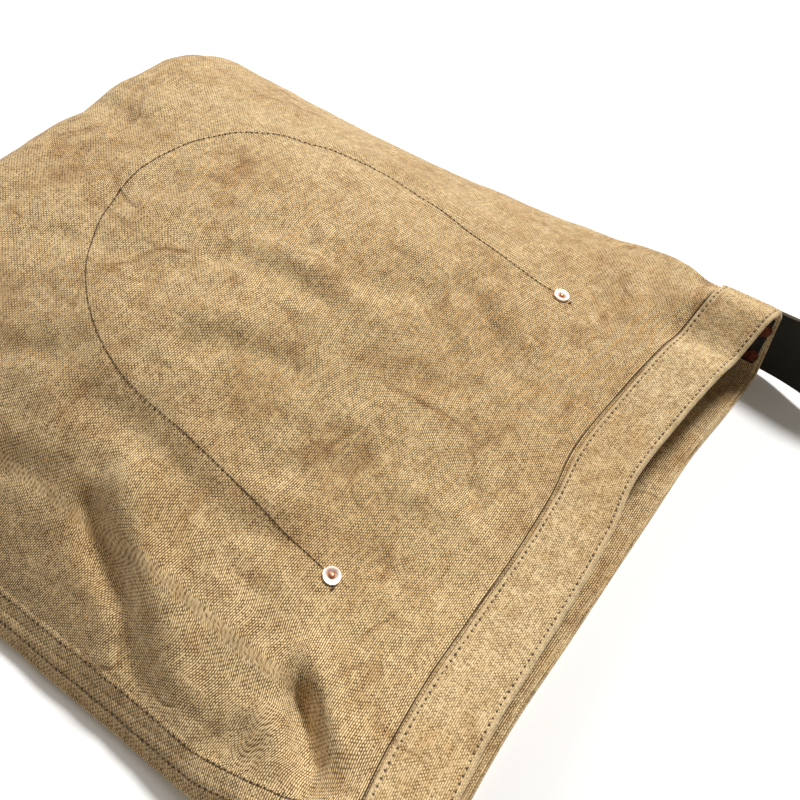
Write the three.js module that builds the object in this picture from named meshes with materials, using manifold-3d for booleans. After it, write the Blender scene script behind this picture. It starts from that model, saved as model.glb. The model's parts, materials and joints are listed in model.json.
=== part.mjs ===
// A canvas shoulder bag lying on its back with its mouth towards -Y. Millimetres, +Z up.
// The origin is the middle of the flat underside of the back panel. +X is the far side.
import * as THREE from 'three';
import Module from 'manifold-3d';
import { mergeVertices } from 'three/addons/utils/BufferGeometryUtils.js';

const wasm = await Module();
wasm.setup();

// Driving dimensions of the bag
const bagWidth = 364;
const bagDepth = 360;
const puffHeight = 84;
const canvasThickness = 1.3;
const seatGap = 0.3;
const foldGap = 0.8;
const bandWidth = 30;
const mouthSag = 12;
const cornerHeight = 36;
const cornerStand = 80;
const cornerRadius = 6;
const cornerShare = 0.45;
// Driving dimensions of the felled seam
const seamWidth = 10;
const seamMargin = 2.5;
const seamThickness = 1;
const seamEase = 0.5;
// Driving dimensions of the horseshoe pocket
const pocketWidth = 192;
const pocketShift = 10;
const pocketTop = 92;
const pocketLeg = 96;
const pocketTaper = 7;
const pocketThickness = 1;
const pocketEase = 0.9;
// Driving dimensions of the strap and its patches
const strapWidth = 38;
const strapThickness = 3;
const strapReach = 320;
const strapOverlap = 24;
const strapTwistLength = 60;
const strapLean = 64;
const strapLift = 4;
const strapLandLength = 160;
const patchLength = 24;
const patchThickness = 1.5;
const patchDrop = 1;
const patchOverrun = 1.5;
// Driving dimensions of the rivets
const burrRadius = 4.25;
const burrThickness = 1;
const rivetHeadRadius = 4;
const rivetHeadThickness = 1.2;
const postRadius = 1.5;
const holeClearance = 0.3;
const strapRivetSpacing = 17;
const strapRivetInset = 1.5;
const postStandout = 0.4;
const rivetTaper = 0.8;
const drillLength = 40;
// Sides of round pieces, and small steps of the surface search
const drillSides = 16;
const rivetSides = 12;
const searchSteps = 40;
const rowProbe = 0.05;
const slopeProbe = 0.01;
const leastStand = 0.05;
const mergeReach = 1e-4;

// Sections from the mouth to the bottom. at: share of the depth. near, far: shares of half
// the width. puff: share of puffHeight. crown: power of the curve across.
// nearFold, farFold: shares of cornerHeight.
const sections = [
  { at: 0.0, near: 0.92, far: 0.835, puff: 0.08, crown: 2.5, nearFold: 1.0, farFold: 1.0 },
  { at: 0.085, near: 0.92, far: 0.835, puff: 0.07, crown: 2.5, nearFold: 1.0, farFold: 1.0 },
  { at: 0.17, near: 0.97, far: 0.915, puff: 0.12, crown: 2.5, nearFold: 0.62, farFold: 0.75 },
  { at: 0.28, near: 1.0, far: 0.97, puff: 0.34, crown: 2.5, nearFold: 0.16, farFold: 0.32 },
  { at: 0.4, near: 1.0, far: 0.985, puff: 0.61, crown: 2.5, nearFold: 0.06, farFold: 0.15 },
  { at: 0.53, near: 1.0, far: 0.98, puff: 0.85, crown: 2.5, nearFold: 0.06, farFold: 0.12 },
  { at: 0.68, near: 1.0, far: 0.97, puff: 0.97, crown: 2.6, nearFold: 0.06, farFold: 0.12 },
  { at: 0.82, near: 0.995, far: 0.96, puff: 1.02, crown: 2.9, nearFold: 0.06, farFold: 0.12 },
  { at: 0.92, near: 0.98, far: 0.95, puff: 1.03, crown: 3.5, nearFold: 0.05, farFold: 0.1 },
  { at: 0.965, near: 0.965, far: 0.935, puff: 0.97, crown: 4.1, nearFold: 0.03, farFold: 0.06 },
  { at: 0.99, near: 0.945, far: 0.915, puff: 0.68, crown: 4.6, nearFold: 0.0, farFold: 0.0 },
  { at: 1.0, near: 0.92, far: 0.89, puff: 0.0, crown: 5.0, nearFold: 0.0, farFold: 0.0 },
];

// How far the two rims are drawn back from the mouth line. across: -1 near side, 1 far side.
// front, back: shares of mouthSag.
const rimSag = [
  { across: -1.0, front: 0.1, back: 0.1 },
  { across: -0.75, front: 0.7, back: 0.5 },
  { across: -0.5, front: 0.95, back: 0.6 },
  { across: -0.2, front: 0.95, back: 0.45 },
  { across: 0.05, front: 1.05, back: 0.35 },
  { across: 0.25, front: 1.35, back: 0.25 },
  { across: 0.5, front: 1.05, back: 0.15 },
  { across: 0.75, front: 0.55, back: -0.2 },
  { across: 0.94, front: 0.08, back: -0.42 },
  { across: 1.0, front: -0.1, back: -0.2 },
];

// Main folds of the front panel, each along a line. x: shares of half the width, y: shares of
// the depth from the mouth. reach: share of foldReach. rise: share of foldRise, valleys below 0.
const folds = [
  { x1: -0.7, y1: 0.53, x2: -0.82, y2: 0.42, reach: 0.8, rise: -1.0 },
  { x1: -0.82, y1: 0.42, x2: -0.91, y2: 0.36, reach: 0.7, rise: -0.8 },
  { x1: -0.65, y1: 0.47, x2: -0.79, y2: 0.33, reach: 1.0, rise: 0.7 },
  { x1: -0.79, y1: 0.33, x2: -0.88, y2: 0.23, reach: 0.9, rise: 0.5 },
  { x1: -0.54, y1: 0.6, x2: -0.51, y2: 0.5, reach: 0.8, rise: -0.45 },
  { x1: -0.51, y1: 0.5, x2: -0.52, y2: 0.36, reach: 0.8, rise: -0.45 },
  { x1: -0.71, y1: 0.24, x2: -0.81, y2: 0.17, reach: 0.8, rise: -0.9 },
  { x1: -0.02, y1: 0.58, x2: 0.06, y2: 0.46, reach: 1.0, rise: -0.35 },
  { x1: 0.09, y1: 0.45, x2: 0.11, y2: 0.39, reach: 1.0, rise: 0.3 },
  { x1: -0.27, y1: 0.54, x2: -0.16, y2: 0.44, reach: 1.0, rise: -0.3 },
  { x1: 0.82, y1: 0.32, x2: 0.62, y2: 0.2, reach: 0.9, rise: -0.5 },
  { x1: 0.18, y1: 0.96, x2: 0.16, y2: 0.86, reach: 0.9, rise: -0.5 },
  { x1: 0.35, y1: 0.33, x2: 0.26, y2: 0.26, reach: 0.9, rise: -0.35 },
];
const foldReach = 13;
const foldRise = 6;

const farSpread = 2;
const nearSpread = 3;

// Smooth value of a table's column at a fractional row number
function column(table, name, row) {
  const last = table.length - 1;
  const i = Math.min(Math.floor(row), last - 1);
  const f = row - i;
  const p = [i - 1, i, i + 1, i + 2].map((k) => table[THREE.MathUtils.clamp(k, 0, last)][name]);
  const slope = (before, after) => (before * after > 0 ? (2 * before * after) / (before + after) : 0);
  const slopeA = i === 0 ? p[2] - p[1] : slope(p[1] - p[0], p[2] - p[1]);
  const slopeB = i === last - 1 ? p[2] - p[1] : slope(p[2] - p[1], p[3] - p[2]);
  const f2 = f * f;
  const f3 = f2 * f;
  return p[1] * (2 * f3 - 3 * f2 + 1) + slopeA * (f3 - 2 * f2 + f)
    + p[2] * (3 * f2 - 2 * f3) + slopeB * (f3 - f2);
}

// Row number at which a rising column reaches a value
function rowOf(table, name, value) {
  let low = 0;
  let high = table.length - 1;
  for (let step = 0; step < searchSteps; step += 1) {
    const middle = (low + high) / 2;
    if (column(table, name, middle) < value) low = middle;
    else high = middle;
  }
  return (low + high) / 2;
}

const bandShare = bandWidth / bagDepth;
const hemRaise = canvasThickness + seatGap;
const hemEnd = 1.4;

// How steeply a side fold's height falls towards the bottom
function fallOf(foldName, row) {
  const last = sections.length - 1;
  const ends = [Math.max(row - rowProbe, 0), Math.min(row + rowProbe, last)];
  const [lift1, lift2] = ends.map((k) => column(sections, foldName, k) * cornerHeight);
  const [y1, y2] = ends.map((k) => column(sections, 'at', k) * bagDepth);
  return Math.abs(lift1 - lift2) / (y2 - y1);
}

// The measures of one section of the bag
function sectionAt(row) {
  const half = bagWidth / 2;
  const at = column(sections, 'at', row);
  const raise = hemRaise * (1 - THREE.MathUtils.smoothstep(at, bandShare, bandShare * hemEnd));
  const side = (name, foldName) => {
    const lift = Math.max(column(sections, foldName, row), 0);
    const stand = THREE.MathUtils.degToRad(cornerStand) * Math.sqrt(lift);
    const fall = fallOf(foldName, row);
    return { x: column(sections, name, row) * half, lift: lift * cornerHeight, stand, fall };
  };
  return {
    at,
    raise,
    y: (at - 0.5) * bagDepth,
    puff: Math.max(column(sections, 'puff', row), 0) * puffHeight,
    crown: column(sections, 'crown', row),
    near: side('near', 'nearFold'),
    far: side('far', 'farFold'),
  };
}

function sagAt(panel, across, at) {
  const share = column(rimSag, panel, rowOf(rimSag, 'across', across));
  return share * mouthSag * (1 - at) ** 2;
}

// Height of the stacked edges of the front panel and the back panel at a side fold
function stackOf(side) {
  return canvasThickness * (1 + Math.cos(side.stand) + side.fall) + foldGap;
}

// Height that the folds add to the front panel at a place
function foldHeight(x, y) {
  let height = 0;
  folds.forEach((fold) => {
    const start = new THREE.Vector2(fold.x1 * bagWidth / 2, (fold.y1 - 0.5) * bagDepth);
    const run = new THREE.Vector2(fold.x2 * bagWidth / 2, (fold.y2 - 0.5) * bagDepth).sub(start);
    const place = new THREE.Vector2(x, y).sub(start);
    const along = THREE.MathUtils.clamp(place.dot(run) / run.lengthSq(), 0, 1);
    const away = place.distanceTo(run.clone().multiplyScalar(along)) / (fold.reach * foldReach);
    height += fold.rise * foldRise * Math.exp(-away * away);
  });
  return height;
}

// Point of the front panel's outer face. across runs from -1, near side, to 1, far side.
function frontPoint(across, row) {
  const s = sectionAt(row);
  const x = THREE.MathUtils.lerp(-s.near.x, s.far.x, (across + 1) / 2);
  const nearEdge = s.near.lift * ((1 - across) / 2) ** nearSpread;
  const farEdge = s.far.lift * ((1 + across) / 2) ** farSpread;
  const stack = THREE.MathUtils.lerp(stackOf(s.near), stackOf(s.far), (across + 1) / 2);
  const crown = 1 - Math.abs(across) ** s.crown;
  const y = s.y + sagAt('front', across, s.at);
  const calm = THREE.MathUtils.smoothstep(s.at, bandShare, bandShare * 2) * crown;
  const z = s.raise + stack + nearEdge + farEdge + s.puff * crown + foldHeight(x, y) * calm;
  return new THREE.Vector3(x, y, z);
}

// Corner of the back panel from the floor up to a side fold, as offsets from the fold's foot
function cornerPath(side, steps) {
  const lean = Math.max(side.stand, leastStand);
  const reach = side.lift / Math.tan(lean);
  const slant = side.lift / Math.sin(lean);
  const tangent = Math.min(cornerRadius * Math.tan(side.stand / 2), slant * cornerShare);
  const radius = tangent / Math.tan(lean / 2);
  const points = [];
  for (let i = 0; i <= steps.bend; i += 1) {
    const turn = (side.stand * i) / steps.bend;
    const x = -reach - tangent + radius * Math.sin(turn);
    points.push([x, radius * (1 - Math.cos(turn))]);
  }
  const [startX, startZ] = points[points.length - 1];
  for (let i = 1; i <= steps.wall; i += 1) {
    const f = i / steps.wall;
    points.push([startX * (1 - f), THREE.MathUtils.lerp(startZ, side.lift, f)]);
  }
  return points;
}

const backSteps = { bend: 3, wall: 3, flat: 14 };

// One section of the back panel's outer face, from the near fold to the far fold
function backSection(row) {
  const s = sectionAt(row);
  const nearPath = cornerPath(s.near, backSteps);
  const farPath = cornerPath(s.far, backSteps);
  const nearStart = -(s.near.x + nearPath[0][0]);
  const farStart = s.far.x + farPath[0][0];
  const plan = nearPath.map(([dx, z]) => [-(s.near.x + dx), z]).reverse();
  for (let i = 1; i < backSteps.flat; i += 1) {
    plan.push([THREE.MathUtils.lerp(nearStart, farStart, i / backSteps.flat), 0]);
  }
  farPath.forEach(([dx, z]) => plan.push([s.far.x + dx, z]));
  return plan.map(([x, z]) => {
    const across = ((x + s.near.x) / (s.near.x + s.far.x)) * 2 - 1;
    const inset = THREE.MathUtils.clamp(across, -1, 1);
    return new THREE.Vector3(x, s.y + sagAt('back', inset, s.at), z + s.raise);
  });
}

// Unit normals of a grid of points, the same way round as rows crossed with columns
function gridNormals(grid) {
  const rows = grid.length;
  const columns = grid[0].length;
  return grid.map((line, j) => line.map((_, i) => {
    const before = Math.max(i - 1, 0);
    const after = Math.min(i + 1, columns - 1);
    const alongRow = grid[j][after].clone().sub(grid[j][before]);
    const up = grid[Math.min(j + 1, rows - 1)][i].clone().sub(grid[Math.max(j - 1, 0)][i]);
    return alongRow.cross(up).normalize();
  }));
}

function offsetGrid(grid, distance) {
  const normals = gridNormals(grid);
  return grid.map((line, j) => line.map((p, i) => p.clone().addScaledVector(normals[j][i], distance)));
}

function signedVolume(positions, index) {
  const corner = (k) => new THREE.Vector3().fromArray(positions, index[k] * 3);
  let volume = 0;
  for (let k = 0; k < index.length; k += 3) {
    volume += corner(k).dot(corner(k + 1).cross(corner(k + 2)));
  }
  return volume;
}

// A closed wall between two grids of points. With wrap, each row is a closed loop.
function wallBetween(first, second, wrap = false) {
  const rows = first.length;
  const columns = first[0].length;
  const positions = [...first.flat(), ...second.flat()].flatMap((p) => p.toArray());
  const index = [];
  const quad = (a, b, c, d) => index.push(a, b, c, a, c, d);
  const id = (layer, j, i) => layer * rows * columns + j * columns + (i % columns);
  const spans = wrap ? columns : columns - 1;
  for (let j = 0; j < rows - 1; j += 1) {
    for (let i = 0; i < spans; i += 1) {
      quad(id(0, j, i), id(0, j, i + 1), id(0, j + 1, i + 1), id(0, j + 1, i));
      quad(id(1, j, i), id(1, j + 1, i), id(1, j + 1, i + 1), id(1, j, i + 1));
    }
  }
  for (let i = 0; i < spans; i += 1) {
    quad(id(1, 0, i), id(1, 0, i + 1), id(0, 0, i + 1), id(0, 0, i));
    quad(id(0, rows - 1, i), id(0, rows - 1, i + 1), id(1, rows - 1, i + 1), id(1, rows - 1, i));
  }
  for (let j = 0; j < rows - 1 && !wrap; j += 1) {
    const end = columns - 1;
    quad(id(0, j, 0), id(0, j + 1, 0), id(1, j + 1, 0), id(1, j, 0));
    quad(id(1, j, end), id(1, j + 1, end), id(0, j + 1, end), id(0, j, end));
  }
  if (signedVolume(positions, index) < 0) {
    for (let k = 0; k < index.length; k += 3) {
      [index[k + 1], index[k + 2]] = [index[k + 2], index[k + 1]];
    }
  }
  const geometry = new THREE.BufferGeometry();
  geometry.setAttribute('position', new THREE.Float32BufferAttribute(positions, 3));
  geometry.setIndex(index);
  return geometry;
}

// Booleans on closed geometries
function toSolid(geometry) {
  const bare = geometry.clone();
  bare.deleteAttribute('normal');
  bare.deleteAttribute('uv');
  const merged = mergeVertices(bare, mergeReach);
  return new wasm.Manifold(new wasm.Mesh({
    numProp: 3,
    vertProperties: Float32Array.from(merged.attributes.position.array),
    triVerts: Uint32Array.from(merged.index.array),
  }));
}

function toGeometry(solid) {
  const mesh = solid.getMesh();
  const geometry = new THREE.BufferGeometry();
  geometry.setAttribute('position', new THREE.Float32BufferAttribute(mesh.vertProperties, 3));
  geometry.setIndex(Array.from(mesh.triVerts));
  return geometry;
}

function drilled(geometry, seats) {
  let solid = toSolid(geometry);
  seats.forEach((seat) => {
    const radius = postRadius + holeClearance;
    const drill = new THREE.CylinderGeometry(radius, radius, drillLength, drillSides);
    drill.applyMatrix4(seat.matrix);
    solid = solid.subtract(toSolid(drill));
  });
  return toGeometry(solid);
}

// A place and an outward axis, +Y of the piece along the axis
function seatAt(point, axis) {
  const turn = new THREE.Quaternion().setFromUnitVectors(new THREE.Vector3(0, 1, 0), axis);
  const matrix = new THREE.Matrix4().compose(point, turn, new THREE.Vector3(1, 1, 1));
  return { point, axis, turn, matrix };
}

// Rows of the panels: three over the band, and the rest down to the bottom
const bandRows = 3;
const bodyRows = 28;
const backBodyRows = 13;
const frontColumns = 30;

function rowsWith(bodyCount) {
  const rows = [];
  for (let j = 0; j <= bandRows; j += 1) {
    rows.push(rowOf(sections, 'at', (bandShare * j) / bandRows));
  }
  rows.push(rowOf(sections, 'at', bandShare * hemEnd));
  const start = rows.at(-1);
  for (let j = 1; j <= bodyCount; j += 1) {
    rows.push(THREE.MathUtils.lerp(start, sections.length - 1, j / bodyCount));
  }
  return rows;
}

const panelRows = rowsWith(bodyRows);
const backRows = rowsWith(backBodyRows);

const frontGrid = panelRows.map((row) => Array.from(
  { length: frontColumns + 1 }, (_, i) => frontPoint((i / frontColumns) * 2 - 1, row)));
const backGrid = backRows.map((row) => backSection(row));

// Outward offsets of the two panels at the band
const frontOffset = (distance) => offsetGrid(frontGrid, distance);
const backOffset = (distance) => offsetGrid(backGrid, -distance);

// Outward unit normal of the front panel
function frontNormal(across, row) {
  const step = slopeProbe;
  const u = frontPoint(across + step, row).sub(frontPoint(across - step, row));
  const v = frontPoint(across, row + step).sub(frontPoint(across, row - step));
  return u.cross(v).normalize();
}

// Place on the front panel at a distance across from the middle and back from the mouth
function frontSeat(x, y) {
  const row = rowOf(sections, 'at', y / bagDepth);
  const s = sectionAt(row);
  const across = ((x + s.near.x) / (s.near.x + s.far.x)) * 2 - 1;
  return { point: frontPoint(across, row), normal: frontNormal(across, row) };
}

const pocketSides = [-1, 1];
const pocketSeats = pocketSides.map((side) => {
  const seat = frontSeat(pocketShift + (side * pocketWidth) / 2, pocketTop);
  return seatAt(seat.point, seat.normal);
});

// Front panel
const frontShell = wallBetween(frontGrid, frontOffset(-canvasThickness));
const frontPanel = drilled(frontShell, pocketSeats);

// Side walls of the mouth, where the strap is fixed
const mouthSection = sectionAt(0);
const wallSeats = pocketSides.map((side) => {
  const fold = side < 0 ? mouthSection.near : mouthSection.far;
  const up = new THREE.Vector3(side * Math.cos(fold.stand), 0, Math.sin(fold.stand));
  const outward = new THREE.Vector3(side * Math.sin(fold.stand), 0, -Math.cos(fold.stand));
  const top = new THREE.Vector3(side * fold.x, mouthSection.y, mouthSection.raise + fold.lift);
  return { side, fold, up, outward, top };
});

// Strap: its centre line, its width direction and its face direction at each step
const strapSeat = hemRaise + seatGap + strapThickness / 2;
const strapLegX = wallSeats.map((wall) => {
  const lean = (wall.top.z - strapWidth / 2 - strapLift) / Math.tan(wall.fold.stand);
  return wall.side * (Math.abs(wall.top.x) - lean + strapSeat / Math.sin(wall.fold.stand));
});
const strapMiddleX = (strapLegX[0] + strapLegX[1]) / 2;
const strapHalfSpan = (strapLegX[1] - strapLegX[0]) / 2;
const strapCentreZ = strapWidth / 2;
const overlapSteps = 2;
const loopSteps = 44;

function strapFrame(point, tangent, twist, side, lift) {
  const flat = new THREE.Vector3(side, 0, 0);
  const width = new THREE.Vector3(0, 0, Math.sin(twist)).addScaledVector(flat, Math.cos(twist));
  width.addScaledVector(tangent, -width.dot(tangent)).normalize();
  const face = tangent.clone().cross(width).normalize();
  return { point, width, face, lift };
}

function strapFrames() {
  const frames = [];
  const stands = wallSeats.map((wall) => wall.fold.stand);
  const start = mouthSection.y;
  for (let i = 0; i < overlapSteps; i += 1) {
    const y = start + strapOverlap * (1 - i / overlapSteps);
    const point = new THREE.Vector3(strapLegX[1], y, strapCentreZ);
    frames.push(strapFrame(point, new THREE.Vector3(0, -1, 0), stands[1], 1, strapLift));
  }
  for (let i = 0; i <= loopSteps; i += 1) {
    const turn = (Math.PI * i) / loopSteps;
    const out = strapReach * Math.sin(turn);
    const point = new THREE.Vector3(
      strapMiddleX + strapHalfSpan * Math.cos(turn), start - out, strapCentreZ);
    const tangent = new THREE.Vector3(
      -strapHalfSpan * Math.sin(turn), -strapReach * Math.cos(turn), 0).normalize();
    const far = turn < Math.PI / 2;
    const leaned = THREE.MathUtils.smoothstep(out, 0, strapTwistLength);
    const lean = THREE.MathUtils.degToRad(strapLean);
    const twist = THREE.MathUtils.lerp(stands[far ? 1 : 0], lean, leaned);
    const lift = strapLift * (1 - THREE.MathUtils.smoothstep(out, strapTwistLength, strapLandLength));
    frames.push(strapFrame(point, tangent, twist, far ? 1 : -1, lift));
  }
  for (let i = 1; i <= overlapSteps; i += 1) {
    const y = start + (strapOverlap * i) / overlapSteps;
    const point = new THREE.Vector3(strapLegX[0], y, strapCentreZ);
    frames.push(strapFrame(point, new THREE.Vector3(0, 1, 0), stands[0], -1, strapLift));
  }
  return frames;
}

function strapGrid(distance) {
  return strapFrames().map(({ point, width, face, lift }) => {
    const rise = Math.max(strapWidth / 2 * width.z + Math.abs(face.z) * strapThickness / 2, 0);
    const centre = point.clone().setZ(rise + lift).addScaledVector(face, distance);
    return [-1, 1].map((edge) => centre.clone().addScaledVector(width, (edge * strapWidth) / 2));
  });
}

const strapRivetSeats = wallSeats.flatMap((wall) => [-1, 1].map((end) => {
  const middle = strapWidth / 2 + strapLift - wall.top.z;
  const point = wall.top.clone();
  point.y += strapRivetInset;
  point.addScaledVector(wall.up, middle / wall.up.z + (end * strapRivetSpacing) / 2);
  return seatAt(point, wall.outward);
}));

const strapShell = drilled(
  wallBetween(strapGrid(-strapThickness / 2), strapGrid(strapThickness / 2)), strapRivetSeats);

// Back panel
const backShell = wallBetween(backGrid, backOffset(-canvasThickness));
const backPanel = drilled(backShell, strapRivetSeats);

// Mouth band, a ring round both panels
function bandLoop(j, distance) {
  const front = frontOffset(distance)[j];
  const back = backOffset(distance)[j];
  const s = sectionAt(panelRows[j]);
  const frontEdge = frontGrid[j];
  const backEdge = backGrid[j];
  const corner = (side, frontRim, backRim) => {
    const x = frontRim.x + side.sign * distance;
    return [
      new THREE.Vector3(x, frontRim.y, frontRim.z + distance),
      new THREE.Vector3(x, backRim.y, backRim.z - distance * Math.cos(side.stand)),
    ];
  };
  const last = frontEdge.length - 1;
  const farCorner = corner({ sign: 1, stand: s.far.stand }, frontEdge[last], backEdge.at(-1));
  const nearCorner = corner({ sign: -1, stand: s.near.stand }, frontEdge[0], backEdge[0]);
  const inside = (list) => list.slice(1, -1);
  return [...inside(front), ...farCorner, ...inside(back).reverse(), ...nearCorner.reverse()];
}

function bandGrid(distance) {
  return Array.from({ length: bandRows + 1 }, (_, j) => bandLoop(j, distance));
}

const bandShell = wallBetween(
  bandGrid(seatGap + canvasThickness), bandGrid(seatGap), true);
const mouthBand = drilled(bandShell, strapRivetSeats);

// Near side seam, a doubled strip of canvas along the near edge of the front panel
const seamColumns = 2;
const seamEndRows = 3;
const seamRows = panelRows.slice(bandRows + 1, -seamEndRows);

function seamGrid(distance) {
  return seamRows.map((row) => {
    const s = sectionAt(row);
    const span = s.near.x + s.far.x;
    return Array.from({ length: seamColumns + 1 }, (_, i) => {
      const inward = seamMargin + (seamWidth * i) / seamColumns;
      const across = (inward / span) * 2 - 1;
      return frontPoint(across, row).addScaledVector(frontNormal(across, row), distance);
    });
  });
}

const seamShell = wallBetween(seamGrid(seamEase + seamThickness), seamGrid(seamEase));

// Inner pocket, a horseshoe of canvas under the front panel
const pocketColumns = 14;
const pocketStraightRows = 5;
const pocketRoundRows = 7;
const pocketDepthUnder = canvasThickness + pocketEase;

function pocketPlan() {
  const plan = [];
  for (let j = -pocketStraightRows; j <= pocketRoundRows; j += 1) {
    const line = [];
    for (let i = 0; i <= pocketColumns; i += 1) {
      const u = (i / pocketColumns) * 2 - 1;
      const round = Math.max(j / pocketRoundRows, 0);
      const straight = Math.min(j / pocketStraightRows, 0);
      const half = pocketWidth / 2 - pocketTaper * (1 + straight);
      const x = pocketShift + half * u * Math.sqrt(1 - (round * round) / 2);
      const y = pocketTop + pocketLeg * (1 + straight)
        + half * round * Math.sqrt(1 - (u * u) / 2);
      line.push([x, y]);
    }
    plan.push(line);
  }
  return plan;
}

// The pocket's margin beyond the rivets, so that the rivets lie inside its cloth
const pocketMargin = 9;

function pocketGrid(distance) {
  const grow = (pocketWidth / 2 + pocketMargin) / (pocketWidth / 2);
  return pocketPlan().map((line) => line.map(([x, y]) => {
    const wide = pocketShift + (x - pocketShift) * grow;
    const deep = pocketTop - pocketMargin + (y - pocketTop) * grow;
    const seat = frontSeat(wide, deep);
    return seat.point.addScaledVector(seat.normal, -distance);
  }));
}

const pocketShell = drilled(
  wallBetween(pocketGrid(pocketDepthUnder), pocketGrid(pocketDepthUnder + pocketThickness)),
  pocketSeats);

// Strap patches, leather plates on the inner faces of the side walls
function patchShell(wall) {
  const height = wall.fold.lift - cornerRadius - patchDrop;
  const patch = new THREE.BoxGeometry(patchLength, patchThickness, height);
  const centreUp = -height / 2 - patchDrop;
  const depth = canvasThickness + seatGap + patchThickness / 2;
  const centre = wall.top.clone();
  centre.y += patchLength / 2 - patchOverrun;
  centre.addScaledVector(wall.up, centreUp).addScaledVector(wall.outward, -depth);
  const along = new THREE.Vector3().crossVectors(wall.outward, wall.up);
  const basis = new THREE.Matrix4().makeBasis(along, wall.outward, wall.up);
  patch.applyMatrix4(basis.setPosition(centre));
  const seats = strapRivetSeats.filter((seat) => Math.sign(seat.point.x) === wall.side);
  return drilled(patch, seats);
}

// Rivet: head inside, post through the layers, and burr washer outside
function rivetGeometry(inner, outer) {
  const headFace = -inner - seatGap;
  const burrFace = outer + seatGap;
  const postEnd = burrFace + burrThickness + postStandout;
  const profile = [
    [0, headFace - rivetHeadThickness],
    [rivetHeadRadius * rivetTaper, headFace - rivetHeadThickness],
    [rivetHeadRadius, headFace],
    [postRadius, headFace],
    [postRadius, burrFace],
    [burrRadius, burrFace],
    [burrRadius, burrFace + burrThickness],
    [postRadius, burrFace + burrThickness],
    [postRadius * rivetTaper, postEnd],
    [0, postEnd],
  ].map(([r, y]) => new THREE.Vector2(r, y));
  return new THREE.LatheGeometry(profile, rivetSides);
}

const colours = {
  canvas: [0xb39463, 0.92, 0],
  leather: [0x2b2923, 0.62, 0],
  copper: [0xc98a72, 0.35, 1],
};

const group = new THREE.Group();

function add(name, geometry, finish) {
  const [color, roughness, metalness] = colours[finish];
  const material = new THREE.MeshStandardMaterial({ color, roughness, metalness });
  const mesh = new THREE.Mesh(geometry, material);
  mesh.name = name;
  group.add(mesh);
  return mesh;
}

add('front_panel', frontPanel, 'canvas');
add('back_panel', backPanel, 'canvas');
add('mouth_band', mouthBand, 'canvas');
add('near_side_seam', seamShell, 'canvas');
add('inner_pocket', pocketShell, 'canvas');
add('strap', strapShell, 'leather');

const sideNames = ['near', 'far'];
wallSeats.forEach((wall, k) => add(`${sideNames[k]}_strap_patch`, patchShell(wall), 'leather'));

pocketSeats.forEach((seat, k) => {
  const rivet = add(
    `${sideNames[k]}_pocket_rivet`, rivetGeometry(pocketDepthUnder + pocketThickness, 0), 'copper');
  rivet.position.copy(seat.point);
  rivet.quaternion.copy(seat.turn);
});

strapRivetSeats.forEach((seat, k) => {
  const side = sideNames[Math.floor(k / 2)];
  const inner = canvasThickness + seatGap + patchThickness;
  const outer = seatGap + canvasThickness + seatGap + strapThickness;
  const rivet = add(`${side}_strap_rivet_${(k % 2) + 1}`, rivetGeometry(inner, outer), 'copper');
  rivet.position.copy(seat.point);
  rivet.quaternion.copy(seat.turn);
});

export default group;
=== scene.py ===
import json
import math

import bpy
import numpy as np
from mathutils import Matrix, Vector, noise

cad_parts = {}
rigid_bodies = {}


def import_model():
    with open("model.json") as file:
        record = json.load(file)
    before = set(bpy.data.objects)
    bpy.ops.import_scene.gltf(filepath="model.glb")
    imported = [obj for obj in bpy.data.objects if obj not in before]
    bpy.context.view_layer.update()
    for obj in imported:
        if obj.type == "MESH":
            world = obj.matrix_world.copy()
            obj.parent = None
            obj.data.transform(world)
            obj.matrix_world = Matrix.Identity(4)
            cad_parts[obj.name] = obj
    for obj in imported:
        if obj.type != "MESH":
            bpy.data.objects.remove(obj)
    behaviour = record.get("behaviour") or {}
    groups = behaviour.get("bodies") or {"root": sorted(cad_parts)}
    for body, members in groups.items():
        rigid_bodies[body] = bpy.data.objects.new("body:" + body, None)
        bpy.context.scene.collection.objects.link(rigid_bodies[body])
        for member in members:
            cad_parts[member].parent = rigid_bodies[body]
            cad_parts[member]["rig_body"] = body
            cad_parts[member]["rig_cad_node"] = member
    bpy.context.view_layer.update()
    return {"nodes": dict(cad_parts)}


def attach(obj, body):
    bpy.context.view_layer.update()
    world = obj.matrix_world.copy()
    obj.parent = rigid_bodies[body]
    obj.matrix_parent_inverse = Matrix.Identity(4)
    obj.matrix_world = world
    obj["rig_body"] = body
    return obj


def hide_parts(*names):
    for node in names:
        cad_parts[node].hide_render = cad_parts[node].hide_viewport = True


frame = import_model()
bpy.ops.object.select_all(action="DESELECT")

# Camera
# The photograph is taken from above the near mouth corner, about 45 cm from the bag's middle.
camera_data = bpy.data.cameras.new("photo_camera")
camera_data.sensor_width = 36
camera_data.lens = 38.96
camera_data.clip_start = 0.01
camera = bpy.data.objects.new("photo_camera", camera_data)
bpy.context.scene.collection.objects.link(camera)
camera.location = (-0.1963, -0.1907, 0.3629)
camera.rotation_euler = [math.radians(degrees) for degrees in (35.9145, -0.4165, -54.7925)]
bpy.context.scene.camera = camera

# Bag body
# Heavy plain-weave canvas, one cloth that is folded at the far side and felled at the near
# side, closed at the bottom and open at the mouth. It lies on its back, flat at the mouth
# and puffed towards the bottom, and the two mouth corners stand up.
bag_width, bag_depth, puff_height = 0.364, 0.360, 0.084
cloth = 0.0013
hem_raise, fold_gap, floor_gap = 0.0016, 0.0008, 0.0001
corner_height, corner_stand, corner_radius = 0.036, math.radians(80), 0.006
mouth_sag, hem_swell = 0.012, 0.0009
flank_rise, tip_climb, tip_dip = 0.0100, 0.0034, 0.0046
wall_steps, bend_steps, floor_steps = 7, 6, 40
row_count, column_count = 172, 188
band_share = 0.030 / bag_depth
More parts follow.
